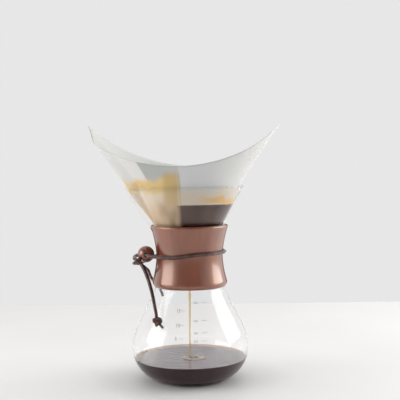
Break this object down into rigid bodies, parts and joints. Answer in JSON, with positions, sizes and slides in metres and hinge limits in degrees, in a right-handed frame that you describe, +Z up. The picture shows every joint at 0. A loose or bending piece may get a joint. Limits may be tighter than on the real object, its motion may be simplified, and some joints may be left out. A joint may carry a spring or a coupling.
{
  "type": "pour-over coffee maker with paper filter",
  "caption": "Hourglass glass pour-over coffee maker with a pouring spout, a wooden waist collar held by a leather tie and bead, and a folded paper filter brewing coffee.",
  "frame": {"origin": "centre of the underside of the glass base", "axes": "+Z up along the axis of the glass, -X towards the pouring spout (which is turned 8 degrees towards -Y), -Y to the front, where the tie's tails hang"},
  "size_m": [0.2189, 0.1484, 0.2883],
  "materials": {
    "glass": "clear blown glass",
    "wood": "glossy lacquer",
    "dark_wood": "glossy lacquer",
    "leather": "raw cut lace",
    "paper": "bleached filter paper",
    "grounds": "wet ground coffee",
    "coffee": "liquid"
  },
  "bodies": {
    "carafe": {"glass_carafe": "glass", "collar_front": "wood", "collar_rear": "wood", "tie_wrap": "leather", "tie_knot": "leather", "brewed_coffee": "coffee"},
    "filter": {"filter_paper": "paper", "coffee_grounds": "grounds", "brewing_coffee": "coffee"},
    "bead": {"tie_bead": "dark_wood"},
    "long_tail": {"tie_long_tail": "leather", "tie_end_knot": "leather"},
    "short_tail": {"tie_short_tail": "leather"}
  },
  "joints": [
    {"name": "filter_lift", "type": "slide", "parent": "carafe", "child": "filter", "axis": [0, 0, 1], "range_m": [0, 0.17]},
    {"name": "bead_spin", "type": "hinge", "parent": "carafe", "child": "bead", "pos_m": [-0.0487, -0.0051, 0.141], "axis": [0.1045, -0.9945, 0], "continuous": true},
    {"name": "long_tail_swing", "type": "hinge", "parent": "carafe", "child": "long_tail", "pos_m": [-0.0555, -0.0145, 0.1325], "axis": [-0.866, 0.5, 0], "range_deg": [0, 60]},
    {"name": "short_tail_swing", "type": "hinge", "parent": "carafe", "child": "short_tail", "pos_m": [-0.0555, -0.0115, 0.1315], "axis": [0.7507, 0.6606, 0], "range_deg": [0, 35]}
  ]
}
